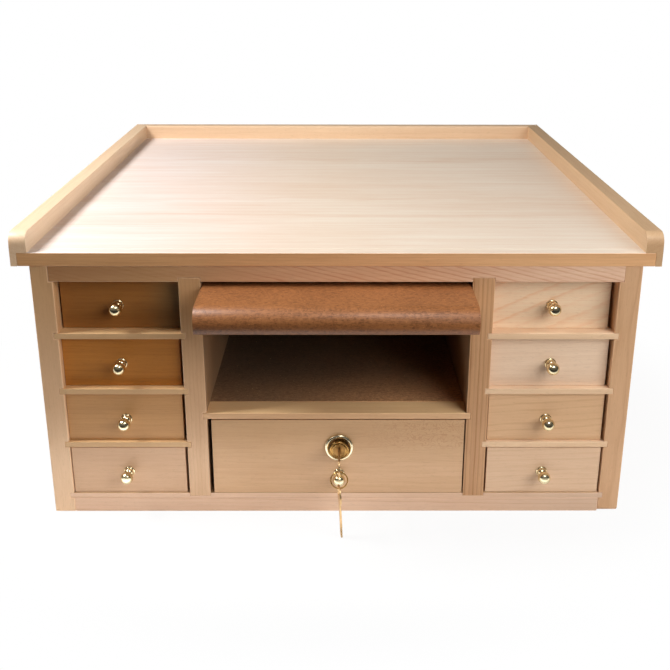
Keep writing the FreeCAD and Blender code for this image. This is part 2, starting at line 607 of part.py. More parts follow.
def keys():
    key("key", Rotation(), ("lock_x", "key_bow_y", "lock_z"))
    loop = document.addObject("Part::Torus", "loop")
    bind(loop, Radius1="wire_loop", Radius2="wire_radius")
    lean = sheet_value("wire_lean")
    place(loop, ("lock_x", "(wire_y+wire_low_y)/2", "(wire_z+wire_low_z)/2"),
          Rotation(Vector(1, 0, 0), 90 - lean))
    finish(loop, "key_ring")
    tilt = Rotation(Vector(0, 1, 0), -sheet_value("spare_tilt"))
    turn = Rotation(Vector(0, 0, 1), sheet_value("spare_turn"))
    hang = tilt.multiply(turn).multiply(Rotation(Vector(1, 0, 0), -90))
    drop = "(key_hole-wire_radius-wire_clear+key_bow-key_hole_inset)"
    key("spare_key", hang,
        (f"lock_x+{drop}*sin(spare_tilt)", "wire_low_y", f"wire_low_z-{drop}*cos(spare_tilt)"))


# ---- Catch tray ---------------------------------------------------------------------------------

def rolled(label, start, reach, top, radius, back, low, width):
    """A bar across the tray whose front edge is rolled: a box less the waste in front of the roll."""
    blank = block(label + "_blank", (start, reach, low), (width, f"{back}-({reach})", f"{top}-({low})"))
    waste = block(label + "_waste", (f"{start}-{MARGIN}", f"{reach}-{MARGIN}", f"{low}-{MARGIN}"),
                  (f"{width}+2*{MARGIN}", f"{radius}+{MARGIN}", f"{top}-({low})+2*{MARGIN}"))
    bar = rod(label + "_bar", (f"{start}-2*{MARGIN}", f"{reach}+{radius}", f"{top}-{radius}"), radius,
              f"{width}+4*{MARGIN}", ALONG_X)
    return cut(label, blank, cut(label + "_corner", waste, bar))


def catch_tray():
    reach = "front_y-tray_reach"
    width = "2*tray_half"
    skin_out = rolled("apron_out", "-tray_half", reach, "tray_top_z", "tray_round",
                      "front_y+tray_rim", "tray_bottom_z", width)
    skin_in = rolled("apron_in", f"-tray_half-{MARGIN}", f"{reach}+tray_skin", "tray_top_z-tray_skin",
                     "(tray_round-tray_skin)", f"front_y+tray_rim+{MARGIN}",
                     f"tray_bottom_z-{MARGIN}", f"{width}+2*{MARGIN}")
    finish(cut("apron_cut", skin_out, skin_in), "tray_apron")

    under_top = "tray_top_z-tray_skin"
    inside = "(2*tray_half-2*tray_wall)"
    groove = ("-tray_half+tray_wall-groove_depth", "front_y+tray_rim-groove_depth", "tray_floor_z")
    groove_size = (f"{inside}+2*groove_depth", "tray_length-tray_rim+groove_depth", "hardboard")
    pieces = []
    for word, left, slot in (("left", "-tray_half", "-tray_half"),
                             ("right", "tray_half-tray_wall", "tray_half-track_depth")):
        cheek = rolled(f"cheek_{word}", left, f"{reach}+tray_skin", under_top, "(tray_round-tray_skin)",
                       "front_y+tray_length", "tray_bottom_z", "tray_wall")
        rim = block(f"cheek_{word}_rim", (left, "front_y+tray_rim", under_top),
                    ("tray_wall", "tray_length-tray_rim", "tray_skin"))
        track = block(f"cheek_{word}_track",
                      (f"{slot}-{MARGIN}" if word == "left" else slot,
                       "front_y+runner_inset-2*slide_clear", "runner_z-slide_clear"),
                      (f"track_depth+{MARGIN}", f"tray_length+{MARGIN}",
                       "runner_height+2*slide_clear"))
        floor_slot = block(f"cheek_{word}_floor", groove, groove_size)
        pieces.append(cut(f"tray_side_{word}", join(f"cheek_{word}_form", cheek, rim), track, floor_slot))
    front = block("tray_front_blank",
                  ("-tray_half+tray_wall", "front_y+tray_rim-tray_wall", "tray_bottom_z"),
                  (inside, "tray_wall", "tray_height-tray_skin"))
    front_slot = block("tray_front_slot", groove, groove_size)
    pieces.append(cut("tray_front_wall", front, front_slot))
    pieces.append(block("tray_back_wall",
                        ("-tray_half+tray_wall", "front_y+tray_length-tray_wall", "tray_floor_z+hardboard"),
                        (inside, "tray_wall", "tray_top_z-tray_floor_z-hardboard")))
    finish(group("tray_frame_set", *pieces), "tray_frame")
    floor = block("tray_floor_board", groove, groove_size)
    finish(floor, "tray_floor")
    runners = [block(f"runner_{word}", (x, "front_y+runner_inset", "runner_z"),
                     ("runner_width", "runner_depth", "runner_height"))
               for word, x in (("left", "-divider_inner"), ("right", "divider_inner-runner_width"))]
    finish(group("runner_set", *runners), "tray_runners")


worktop()
carcase()
catch_tray()
for side, sign in (("left", -1), ("right", 1)):
    for row in "abcd":
        small_drawer(side, sign, row)
large_drawer()
lock()
keys()

document.recompute()
failed = [item.Name for item in document.Objects if {"Invalid", "Error"} & set(item.State)]
assert not failed, failed
os.makedirs("parts", exist_ok=True)
for node in nodes:
    assert not node.Shape.isNull() and node.Shape.isValid(), node.Label
    node.Shape.exportStep(f"parts/{node.Label}.step")
    print(f"{node.Label}: {len(node.Shape.Solids)} solids, {node.Shape.Volume / 1000:.1f} cm3")
print(len(nodes), "nodes")
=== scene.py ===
import json
import math

import bmesh
import bpy
from mathutils import Euler, Matrix, Vector


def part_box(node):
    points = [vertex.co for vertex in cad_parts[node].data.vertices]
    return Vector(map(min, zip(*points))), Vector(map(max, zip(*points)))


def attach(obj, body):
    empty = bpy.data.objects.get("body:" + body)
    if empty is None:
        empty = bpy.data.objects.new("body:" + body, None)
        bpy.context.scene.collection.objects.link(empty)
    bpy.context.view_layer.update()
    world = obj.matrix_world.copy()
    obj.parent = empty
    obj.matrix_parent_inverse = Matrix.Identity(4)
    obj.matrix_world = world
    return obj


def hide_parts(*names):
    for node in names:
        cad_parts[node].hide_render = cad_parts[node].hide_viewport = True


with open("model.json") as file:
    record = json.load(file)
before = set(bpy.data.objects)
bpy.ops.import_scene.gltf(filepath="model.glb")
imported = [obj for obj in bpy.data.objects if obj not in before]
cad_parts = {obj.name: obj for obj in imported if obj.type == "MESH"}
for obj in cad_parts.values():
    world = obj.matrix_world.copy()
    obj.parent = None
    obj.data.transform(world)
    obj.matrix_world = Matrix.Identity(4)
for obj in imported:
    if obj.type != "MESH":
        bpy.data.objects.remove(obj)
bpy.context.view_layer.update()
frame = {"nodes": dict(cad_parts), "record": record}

MM = 0.001
NODES = frame["nodes"]
BODY = {node: body for body, members in frame["record"]["behaviour"]["bodies"].items() for node in members}
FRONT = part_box("side_left")[0].y        # front edges of the carcase


# ---- Node graphs --------------------------------------------------------------------------------

def srgb(*values):
    """A colour given as sRGB from 0 to 255, as the nodes take it."""
    shares = [value / 255 for value in values]
    return [c / 12.92 if c <= 0.04045 else ((c + 0.055) / 1.055) ** 2.4 for c in shares] + [1]


def lighter(colour, gain, lift):
    return [min(1, x * gain + lift) for x in colour[:3]] + [1]


def darker(colour, share):
    return [x * share for x in colour[:3]] + [1]


class Graph:
    """The node tree of a material or a world, built from short calls."""

    def __init__(self, owner):
        owner.use_nodes = True
        self.owner = owner
        self.tree = owner.node_tree
        self.tree.nodes.clear()

    def put(self, socket, value):
        if isinstance(value, bpy.types.NodeSocket):
            self.tree.links.new(value, socket)
        else:
            socket.default_value = value

    def node(self, kind, inputs=None, **settings):
        made = self.tree.nodes.new(kind)
        for key, value in settings.items():
            setattr(made, key, value)
        for key, value in (inputs or {}).items():
            self.put(made.inputs[key], value)
        return made

    def math(self, operation, a, b=0.0, c=0.0, clamp=False):
        made = self.node("ShaderNodeMath", {0: a, 1: b}, operation=operation, use_clamp=clamp)
        if operation == "MULTIPLY_ADD":
            self.put(made.inputs[2], c)
        return made.outputs[0]

    def times(self, product, *factors):
        for factor in factors:
            product = self.math("MULTIPLY", product, factor)
        return product

    def length(self, x, y):
        return self.math("SQRT", self.math("ADD", self.times(x, x), self.times(y, y)))

    def mix(self, factor, a, b, blend="MIX"):
        made = self.node("ShaderNodeMix", {0: factor, 6: a, 7: b}, data_type="RGBA", blend_type=blend,
                         clamp_factor=True)
        return made.outputs[2]

    def noise(self, place, cells, detail=2.0, roughness=0.5, distortion=0.0, output="Fac"):
        """Noise over three coordinates, with so many cells per metre along each of them."""
        stretched = [self.times(part, count) for part, count in zip(place, cells)]
        vector = self.node("ShaderNodeCombineXYZ", dict(enumerate(stretched))).outputs[0]
        made = self.node("ShaderNodeTexNoise", {"Vector": vector, "Scale": 1.0, "Detail": detail,
                                                "Roughness": roughness, "Distortion": distortion})
        return made.outputs[output]

    def random(self, number):
        """A value of its own for each whole number."""
        return self.node("ShaderNodeTexWhiteNoise", {"W": number}, noise_dimensions="1D").outputs["Value"]

    def spread(self, value, low, high, to_low=0.0, to_high=1.0, smooth=True):
        """Maps the stretch from low to high to the one from to_low to to_high, and holds its ends."""
        made = self.node("ShaderNodeMapRange", {"Value": value, "From Min": low, "From Max": high,
                                                "To Min": to_low, "To Max": to_high},
                         interpolation_type="SMOOTHSTEP" if smooth else "LINEAR", clamp=True)
        return made.outputs["Result"]

    def swing(self, value, low, high, smooth=True):
        return self.spread(value, low, high, -0.5, 0.5, smooth)

    def place(self, seed):
        """Object coordinates as two lists of three sockets: moved by a seed, and plain."""
        coordinates = self.node("ShaderNodeTexCoord").outputs["Object"]
        step = (seed * 1.37, seed * 0.71, seed * 2.13)
        moved = self.node("ShaderNodeVectorMath", {0: coordinates, 1: step}, operation="ADD").outputs[0]
        apart = [self.node("ShaderNodeSeparateXYZ", {0: point}) for point in (moved, coordinates)]
        return [list(node.outputs) for node in apart]

    def worn_edges(self):
        """1 on the faces that soften marked as worn edges, and 0 elsewhere."""
        mark = self.node("ShaderNodeAttribute", attribute_name="edge", attribute_type="GEOMETRY")
        return mark.outputs["Fac"]

    def surface(self, colour, roughness, height, bump, distance, **settings):
        """Ends a material with its shader, whose height is a fine bump."""
        relief = self.node("ShaderNodeBump", {"Strength": bump, "Distance": distance, "Height": height})
        shader = self.node("ShaderNodeBsdfPrincipled", {"Base Color": colour, "Roughness": roughness,
                                                        "Normal": relief.outputs[0], **settings})
        self.node("ShaderNodeOutputMaterial", {"Surface": shader.outputs[0]})
        return self.owner


# ---- Wood, hardboard and metal ------------------------------------------------------------------

# Noise cells per metre in wood: along the grain, and across it both ways.
BEND_CELLS = (7.0, 16.0, 16.0)
RAGGED_CELLS = (30.0, 420.0, 420.0)
FIBRE_CELLS = (38.0, 1300.0, 1300.0)
STREAK_CELLS = (5.0, 150.0, 150.0)
CLOUD_CELLS = (4.0, 9.0, 9.0)
PORE_CELLS = (190.0, 1150.0, 1150.0)
WILD_CELLS = (110.0, 150.0, 120.0)      # these go across first, and along last

BEND = 0.010                    # how far the growth rings bend sideways, m
RAGGED = 0.35                   # how ragged a growth line is, in rings
LINE_FULL, LINE_ENDS = 0.86, 0.88       # where in a ring its dark line is full, and where it starts to end
FAINTEST_RING = 0.25
BOARD_RUN, BOARD_SHIFT = 3.0, 0.16      # how far apart boards were cut, along the trunk and across, m
MIDDLE_TONE = 0.28              # share of the dark colour in plain wood
WILD_LINES = 7.0                # contour lines of wild grain, over the whole height of its noise


def wood(name, light, dark, along, seed, pith, ring, lean=0.0, figure=0.45, wave=1.0, fibre=0.2, streak=0.16,
         fleck=0.12, cloud=0.25, rough=0.45, specular=0.4, bump=0.2, end=0.35, thin=0.45, boards=None,
         tones=0.5, fade=(), figure_from=None, wild=None):
    """Sawn wood. The growth rings are cylinders round a pith line that runs along the grain, so faces,
    edges and ends show figure that belongs together.

    pith, lean: place of the pith line across the grain, and its slope. ring: distance between growth lines.
    thin: share of a ring before its line starts. figure, fibre, streak, cloud, fleck, end: strength of
    growth lines, fibres, streaks, slow changes of tone, pores and end grain. boards = (axis, width, start):
    glued-up boards, whose tones differ by up to tones. fade = [(axis, from, to, tint, ripple)]: a slow
    change of tone, which on most pieces here is painted shade. figure_from = (from, to, share): the growth
    lines start with a share of their strength and are full at the second place. wild = (x from, x to, z from,
    z to, colour, strength): curly marks that start there.
    """
    light, dark = srgb(*light), srgb(*dark)
    g = Graph(bpy.data.materials.new(name))
    seeded, plain = g.place(seed)
    a = "XYZ".index(along)
    b, c = [i for i in range(3) if i != a]
    run, u, v = seeded[a], plain[b], plain[c]
    if boards:
        axis, width, start = boards
        side_by_side = "XYZ".index(axis)
        number = g.math("FLOOR", g.math("DIVIDE", g.math("SUBTRACT", plain[side_by_side], start), width))
        value = g.random(g.math("ADD", number, seed + 0.5))
        shift = g.math("MULTIPLY_ADD", value, BOARD_SHIFT, -BOARD_SHIFT / 2)
        lesser_shift = g.times(shift, 0.6)
        run = g.math("MULTIPLY_ADD", value, BOARD_RUN, run)
        u = g.math("ADD", u, lesser_shift if side_by_side == b else shift)
        v = g.math("ADD", v, shift if side_by_side == b else lesser_shift)
    grain = (run, seeded[b], seeded[c])

    # Growth lines
    bent = g.node("ShaderNodeSeparateColor", {0: g.noise(grain, BEND_CELLS, output="Color")})
    sway = BEND * wave
    u = g.math("ADD", u, g.math("MULTIPLY_ADD", bent.outputs[0], sway, -sway / 2 - pith[0]))
    v = g.math("ADD", v, g.math("MULTIPLY_ADD", bent.outputs[1], sway, -sway / 2 - pith[1]))
    if lean:
        v = g.math("MULTIPLY_ADD", plain[a], lean, v)
    turns = g.math("DIVIDE", g.length(u, v), ring)
    turns = g.math("MULTIPLY_ADD", g.noise(grain, RAGGED_CELLS), RAGGED, turns)
    within = g.math("FRACT", turns)
    rise = g.spread(within, thin, LINE_FULL)
    fall = g.spread(within, LINE_ENDS, 1.0, 1.0, 0.0)
    weight = g.math("MULTIPLY_ADD", g.random(g.math("FLOOR", turns)), 1 - FAINTEST_RING, FAINTEST_RING)
    rings = g.times(rise, rise, fall, weight)
    if figure_from:
        start, stop, share = figure_from
        rings = g.times(rings, g.spread(plain[a], start, stop, share, 1.0))

    # Tone, from light to dark
    fine = g.noise(grain, FIBRE_CELLS, 2.0, 0.6)
    wide = g.noise(grain, STREAK_CELLS, 3.0, 0.6)
    cloudy = g.noise(grain, CLOUD_CELLS)
    pore = g.spread(g.noise(grain, PORE_CELLS, 1.0), 0.62, 0.70)
    tone = g.times(rings, figure)
    tone = g.math("MULTIPLY_ADD", g.swing(fine, 0.32, 0.68, False), fibre, tone)
    tone = g.math("MULTIPLY_ADD", g.swing(wide, 0.32, 0.68, False), streak, tone)
    tone = g.math("MULTIPLY_ADD", g.swing(cloudy, 0.3, 0.7), cloud, tone)
    if boards:
        tone = g.math("ADD", tone, g.math("MULTIPLY_ADD", value, tones, -tones / 2))
    normal = g.node("ShaderNodeNewGeometry").outputs["Normal"]
    turned_back = g.node("ShaderNodeVectorTransform", {0: normal}, vector_type="NORMAL", convert_from="WORLD",
                         convert_to="OBJECT").outputs[0]
    facing = g.math("ABSOLUTE", g.node("ShaderNodeSeparateXYZ", {0: turned_back}).outputs[a])
    end_grain = g.spread(facing, 0.75, 0.95)
    tone = g.math("MULTIPLY_ADD", end_grain, end, tone)
    colour = g.mix(g.math("ADD", tone, MIDDLE_TONE, clamp=True), light, dark)

    # Marks, changes of tone over the piece (mostly painted shade), pores, and worn edges lightened partly as
    # painted highlight
    if wild:
        x_from, x_to, z_from, z_to, mark, strength = wild
        curl = g.noise((*grain[1:], run), WILD_CELLS, 1.0, 0.5, 0.4)
        curl = g.math("FRACT", g.times(curl, WILD_LINES))
        line = g.times(g.spread(curl, 0.30, 0.45), g.spread(curl, 0.55, 0.70, 1.0, 0.0))
        area = g.times(g.spread(plain[0], x_from, x_to), g.spread(plain[2], z_from, z_to))
        colour = g.mix(g.times(line, area, strength), colour, srgb(*mark))
    # Painted shade on most pieces: each fade multiplies a tint over one stretch of the piece.
    for axis, start, stop, tint, ripple in fade:
        level = g.math("ADD", plain["XYZ".index(axis)], -ripple / 2)
        level = g.math("MULTIPLY_ADD", cloudy, ripple, level)
        colour = g.mix(g.spread(level, start, stop), colour, [*tint, 1], "MULTIPLY")
    colour = g.mix(g.times(pore, fleck), colour, darker(dark, 0.55))
    # Worn edges are lightened: partly wear, partly a painted highlight where edges catch the light.
    rubbed_and_lit = g.times(g.worn_edges(), g.spread(wide, 0.3, 0.65, 0.05, 0.4))
    colour = g.mix(rubbed_and_lit, colour, lighter(light, 1.22, 0.01))

    # Gloss and relief
    gloss = g.math("MULTIPLY_ADD", fine, 0.16, rough - 0.08)
    gloss = g.math("MULTIPLY_ADD", end_grain, 0.12, gloss)
    height = g.math("SUBTRACT", g.math("MULTIPLY_ADD", rings, 0.25, g.times(fine, 0.6)), g.times(pore, 0.7))
    return g.surface(colour, gloss, height, bump, 0.25 * MM, **{"Specular IOR Level": specular})


def rail_wood(name, light, dark, along, seed, pith, ring, figure=0.18):
    """Wood of the worktop's rails, with straight lines and darker ends."""
    return wood(name, light, dark, along, seed, pith, ring, figure=figure, wave=0.5, rough=0.42, end=0.45)


def plain_wood(name, light, dark, seed, figure):
    """Wood of small boards that show little of their figure."""
    return wood(name, light, dark, "X", seed, (0.1, 0.5), 0.005, figure=figure)


def box_wood(name, along, seed):
    """Pale unfinished softwood of the drawers' sides and backs."""
    return wood(name, (226, 198, 158), (194, 156, 112), along, seed, (0.02, 0.12), 0.004, figure=0.4,
                wave=1.4, rough=0.62, specular=0.3)


def front_wood(name, light, dark, seed, pith, ring, figure, rough=0.44, **more):
    """Wood of a small drawer's front, its colours and figure its own; upper left fronts darker as painted
    shade.
    """
    return wood("front_wood_" + name, light, dark, "X", seed, pith, ring, figure=figure, rough=rough, **more)


def plywood(name, light, dark, along, seed):
    """Thin plywood, whose peeled veneer has a wide and wavy figure."""
    return wood(name, light, dark, along, seed, (0.03, 0.22), 0.008, figure=0.5, wave=2.4, fibre=0.25,
                streak=0.25, fleck=0.2, cloud=0.35, rough=0.6, end=0.0)


def hardboard(name, light, dark, seed, rough, fade=()):
    """Pressed fibre board: short fibres in every direction, with lighter and darker specks.
    fade = [(axis, from, to, tint)]: a change of tone over the piece."""
    light, dark = srgb(*light), srgb(*dark)
    g = Graph(bpy.data.materials.new(name))
    seeded, plain = g.place(seed)
    base = g.noise(seeded, (330.0, 330.0, 330.0), 5.0, 0.72, 0.6)
    fibres = g.noise(seeded, (210.0, 1100.0, 1100.0), 2.0, 0.6, 0.8)
    other_fibres = g.noise(seeded, (1100.0, 240.0, 900.0), 2.0, 0.6, 0.8)
    slow = g.noise(seeded, (12.0, 12.0, 12.0), 3.0)
    tone = g.spread(base, 0.34, 0.66, -0.1, 0.8, False)
    tone = g.math("MULTIPLY_ADD", g.swing(fibres, 0.38, 0.62), 0.6, tone)
    tone = g.math("MULTIPLY_ADD", g.swing(slow, 0.3, 0.7), 0.3, tone)
    colour = g.mix(tone, light, dark)
    # Each fade multiplies a tint over one stretch of the piece; on the boards here it is painted shade.
    for axis, start, stop, tint in fade:
        colour = g.mix(g.spread(plain["XYZ".index(axis)], start, stop), colour, [*tint, 1], "MULTIPLY")
    speck = g.spread(other_fibres, 0.66, 0.74)
    colour = g.mix(g.times(speck, 0.5), colour, lighter(light, 2.1, 0.02))
    soot = g.spread(fibres, 0.68, 0.76)
    colour = g.mix(g.times(soot, 0.6), colour, darker(dark, 0.4))
    colour = g.mix(g.times(g.worn_edges(), 0.45), colour, lighter(light, 1.5, 0.01))
    gloss = g.math("MULTIPLY_ADD", base, 0.18, rough - 0.09)
    height = g.math("ADD", base, g.times(fibres, 0.5))
    return g.surface(colour, gloss, height, 0.18, 0.2 * MM)


def metal(name, colour, dark, rough, seed, tarnish):
    """Worn metal: patches of tarnish, handling marks in the gloss and hair scratches."""
    colour, dark = srgb(*colour), srgb(*dark)
    g = Graph(bpy.data.materials.new(name))
    seeded, _ = g.place(seed)
    dull = g.spread(g.noise(seeded, (160.0, 160.0, 160.0), 4.0, 0.62), 0.42, 0.72)
    marks = g.noise(seeded, (620.0, 620.0, 620.0), 3.0, 0.6)
    hair = g.noise(seeded, (900.0, 4200.0, 1500.0))
    tone = g.mix(g.times(dull, tarnish), colour, dark)
    tone = g.mix(g.times(g.spread(marks, 0.6, 0.75), tarnish * 0.8), tone, dark)
    tone = g.mix(g.times(g.worn_edges(), 0.5), tone, lighter(colour, 1.15, 0.02))
    gloss = g.math("MULTIPLY_ADD", dull, 0.16, rough)
    gloss = g.math("MULTIPLY_ADD", g.spread(marks, 0.45, 0.7), 0.08, gloss)
    return g.surface(tone, gloss, g.math("ADD", hair, marks), 0.05, 0.08 * MM, Metallic=1.0)


# ---- Meshes -------------------------------------------------------------------------------------

WELD = 0.002 * MM               # points of a node nearer than this are one
SEAM = 0.0001 * MM              # and so are the two ends of a turned ring
ALIGNED = 0.001 * MM            # an edge runs straight if its ends differ by less
FLAT = 0.4                      # degrees: faces that differ by less are one flat face
FACET = 4.2 * MM                # narrower faces are facets of a curve
BOARD_CREASE, RING_CREASE = 42, 36      # degrees: sharper edges look sharp
KNOB_STEPS, SCREW_STEPS, RING_STEPS = 56, 32, 72        # flats round a turned piece


def finished(name, bm, node, material):
    """Turns a bmesh into a piece that rides on the node's body and stands for the node."""
    mesh = bpy.data.meshes.new(name)
    bmesh.ops.recalc_face_normals(bm, faces=bm.faces)
    bm.to_mesh(mesh)
    bm.free()
    mesh.validate()
    mesh.materials.append(material)
    piece = bpy.data.objects.new(name, mesh)
    bpy.context.scene.collection.objects.link(piece)
    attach(piece, BODY[node])
    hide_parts(node)
    return piece


def crease(bm, degrees):
    for edge in bm.edges:
        edge.smooth = len(edge.link_faces) == 2 and edge.calc_face_angle(0) < math.radians(degrees)


def sticks_out(edge, least):
    return len(edge.link_faces) == 2 and edge.is_convex and edge.calc_face_angle(0) > math.radians(least)


def soften(bm, width, edges, segments=2, least=30.0, worn=True):
    """Rounds the edges that stick out by at least that angle. The new faces can be marked as worn."""
    layer = bm.faces.layers.float.get("edge") or bm.faces.layers.float.new("edge")
    chosen = [edge for edge in edges if sticks_out(edge, least)]
    if not chosen:
        return []
    made = bmesh.ops.bevel(bm, geom=chosen, offset=width, offset_type="OFFSET", segments=segments,
                           profile=0.5, affect="EDGES", clamp_overlap=True)
    faces = [face for face in made["faces"] if face.is_valid]
    if worn:
        for face in faces:
            face[layer] = 1.0
    return faces


def from_node(node):
    """The node's solid as a clean bmesh: welded, with its flat faces whole again."""
    bm = bmesh.new()
    bm.from_mesh(NODES[node].data)
    bmesh.ops.remove_doubles(bm, verts=bm.verts, dist=WELD)
    bmesh.ops.dissolve_limit(bm, angle_limit=math.radians(FLAT), verts=bm.verts, edges=bm.edges,
                             use_dissolve_boundaries=False)
    bmesh.ops.recalc_face_normals(bm, faces=bm.faces)
    return bm


def board(node, material, width, rounder=None):
    """A piece after its node, with its outer edges rounded by a width in mm.
    rounder = (test, width): edges that pass the test are rounded by another width."""
    bm = from_node(node)
    rounds = []
    if rounder:
        test, more = rounder
        picked = [edge for edge in bm.edges if test(*[vert.co for vert in edge.verts])]
        rounds = soften(bm, more * MM, picked, 4, 20.0, worn=False)
    done = set(rounds)
    rest = [edge for edge in bm.edges if not any(face in done for face in edge.link_faces)]
    rounds = [face for face in rounds if face.is_valid] + soften(bm, width * MM, rest)
    rounds = set(rounds)
    for face in bm.faces:
        longest = max(edge.calc_length() for edge in face.edges)
        face.smooth = face in rounds or face.calc_area() < longest * FACET
    crease(bm, BOARD_CREASE)
    return finished(node + "_wood", bm, node, material)


def paint(piece, material, test):
    """Gives the faces that pass the test a finish of their own: test(normal, centre)."""
    piece.data.materials.append(material)
    for face in piece.data.polygons:
        if test(face.normal, face.center):
            face.material_index = len(piece.data.materials) - 1


def toward(*direction):
    """A test for the faces that look in that direction."""
    return lambda normal, centre: normal.dot(Vector(direction)) > 0.9


def carried(node, material):
    """A CAD node that stays as it is, with its own finish."""
    mesh = NODES[node].data
    mesh.materials.clear()
    mesh.materials.append(material)


def arc(cx, cy, radius, start, stop, steps):
    """Points of a profile on a circle, from one angle to the other, in degrees."""
    angles = [math.radians(start + (stop - start) * k / steps) for k in range(steps + 1)]
    return [(cx + radius * math.cos(angle), cy + radius * math.sin(angle)) for angle in angles]


def lathe(bm, profile, centre, steps):
    """Turns a profile of (radius, distance in front), in mm, round an axis along Y through the centre."""
    cx, cy, cz = centre
    angles = [2 * math.pi * k / steps for k in range(steps)]
    rows = []
    for radius, ahead in profile:
        rows.append([bm.verts.new((cx + radius * MM * math.cos(angle), cy - ahead * MM,
                                   cz + radius * MM * math.sin(angle)))
                     for angle in (angles if radius > 0 else angles[:1])])
    for one, two in zip(rows, rows[1:]):
        for k in range(steps):
            n = (k + 1) % steps
            corners = [one[k % len(one)], one[n % len(one)], two[n % len(two)], two[k % len(two)]]
            corners = list(dict.fromkeys(corners))
            if len(corners) > 2:
                bm.faces.new(corners)


def turned(node, material, *forms, sharp=False):
    """A turned piece after its node, from forms of (profile, centre, steps). Its corners are drawn softly,
    unless they are to look sharp."""
    bm = bmesh.new()
    bm.faces.layers.float.new("edge")
    for form in forms:
        lathe(bm, *form)
    bmesh.ops.remove_doubles(bm, verts=bm.verts, dist=SEAM)
    for face in bm.faces:
        face.smooth = True
    if sharp:
        crease(bm, RING_CREASE)
    finished(node + "_turned", bm, node, material)


# ---- Materials ----------------------------------------------------------------------------------

# The fade makes the worktop slightly yellower from the middle to the right end: painted shade, as the light
# falls off away from the lamp on the left.
worktop_wood = wood("worktop_maple", (243, 230, 223), (224, 189, 166), "X", 3, (0.1, -0.60), 0.009,
                    figure=0.22, fibre=0.24, streak=0.30, fleck=0.05, cloud=0.22, rough=0.42, specular=0.45,
                    bump=0.08, thin=0.6, boards=("Y", 0.098, -0.2725), tones=0.14,
                    fade=[("X", -0.26, 0.02, (1.0, 0.98, 0.87), 0.02)])
# The fade darkens the lipping towards its left end: painted shade.
lipping_wood = wood("lipping_wood", (230, 179, 130), (190, 137, 91), "X", 5, (-0.3, 0.8), 0.003, figure=0.3,
                    wave=0.3, fibre=0.30, streak=0.30, fleck=0.10, cloud=0.2, rough=0.42,
                    fade=[("X", 0.10, -0.25, (0.82, 0.78, 0.70), 0.03)])
# The left rail's colours are lighter than the right and back rails': painted light, where the lamp on the
# left falls on it.
rail_left_painted_light_wood = rail_wood("rail_wood_left", (241, 212, 178), (217, 177, 138), "Y", 7, (-0.2, 0.5), 0.0045)
rail_right_wood = rail_wood("rail_wood_right", (213, 179, 141), (188, 148, 108), "Y", 9, (0.1, 0.6), 0.004)
rail_back_wood = rail_wood("rail_wood_back", (227, 196, 162), (199, 161, 125), "X", 11, (-0.3, 0.7), 0.005,
                           figure=0.15)
# The fades darken the left side towards its top: painted shade.
side_left_wood = wood("side_wood_left", (231, 193, 156), (196, 155, 112), "Z", 13, (-0.33, -0.2), 0.006,
                      figure=0.25, wave=1.4, rough=0.46, boards=("Y", 0.098, -0.25), tones=0.3,
                      fade=[("Z", 0.05, 0.13, (0.86, 0.80, 0.73), 0.02),
                            ("Z", 0.14, 0.25, (0.86, 0.80, 0.68), 0.02)])
side_right_wood = wood("side_wood_right", (221, 179, 140), (188, 142, 101), "Z", 17, (0.35, -0.24), 0.006,
                       figure=0.25, wave=1.4, rough=0.46, boards=("Y", 0.098, -0.22), tones=0.3)
# The fades darken the left divider towards its top: painted shade.
divider_left_wood = wood("divider_wood_left", (229, 192, 156), (195, 152, 113), "Z", 19, (-0.6, -0.3),
                         0.0036, figure=0.2, wave=0.5, rough=0.46, boards=("Y", 0.12, -0.2), tones=0.3,
                         fade=[("Z", 0.05, 0.12, (0.88, 0.82, 0.75), 0.02),
                               ("Z", 0.13, 0.23, (0.80, 0.76, 0.65), 0.02)])
divider_right_wood = wood("divider_wood_right", (205, 160, 118), (158, 109, 69), "Z", 23, (0.7, -0.3),
                          0.0042, figure=0.75, wave=0.25, streak=0.3, rough=0.46, thin=0.35,
                          boards=("Y", 0.12, -0.2), tones=0.3)
# The fades darken the top rail towards its left end: painted shade.
top_rail_wood = wood("top_rail_wood", (235, 199, 168), (190, 126, 93), "X", 29, (-0.27, 0.85), 0.0042,
                     lean=0.25, figure=0.5, wave=0.55, fleck=0.1, thin=0.3, figure_from=(-0.12, -0.05, 0.25),
                     fade=[("X", 0.22, 0.02, (0.92, 0.88, 0.78), 0.03),
                           ("X", 0.02, -0.20, (0.64, 0.55, 0.41), 0.03)])
shelf_wood = plain_wood("shelf_wood", (236, 201, 164), (203, 161, 120), 31, 0.15)
# The left shelves' colours are darker than the right shelves': painted shade of the left bank.
shelf_left_wood = plain_wood("shelf_wood_left", (216, 176, 130), (186, 142, 98), 32, 0.15)
# The ledge woods are lighter copies of the shelf and nosing woods, painted on their tops: painted light where
# light falls on the ledges.
ledge_painted_light_wood = plain_wood("ledge_painted_light_wood", (248, 207, 154), (224, 174, 116), 33, 0.1)
ledge_right_painted_light_wood = plain_wood("ledge_wood_right", (254, 223, 192), (228, 188, 144), 34, 0.1)
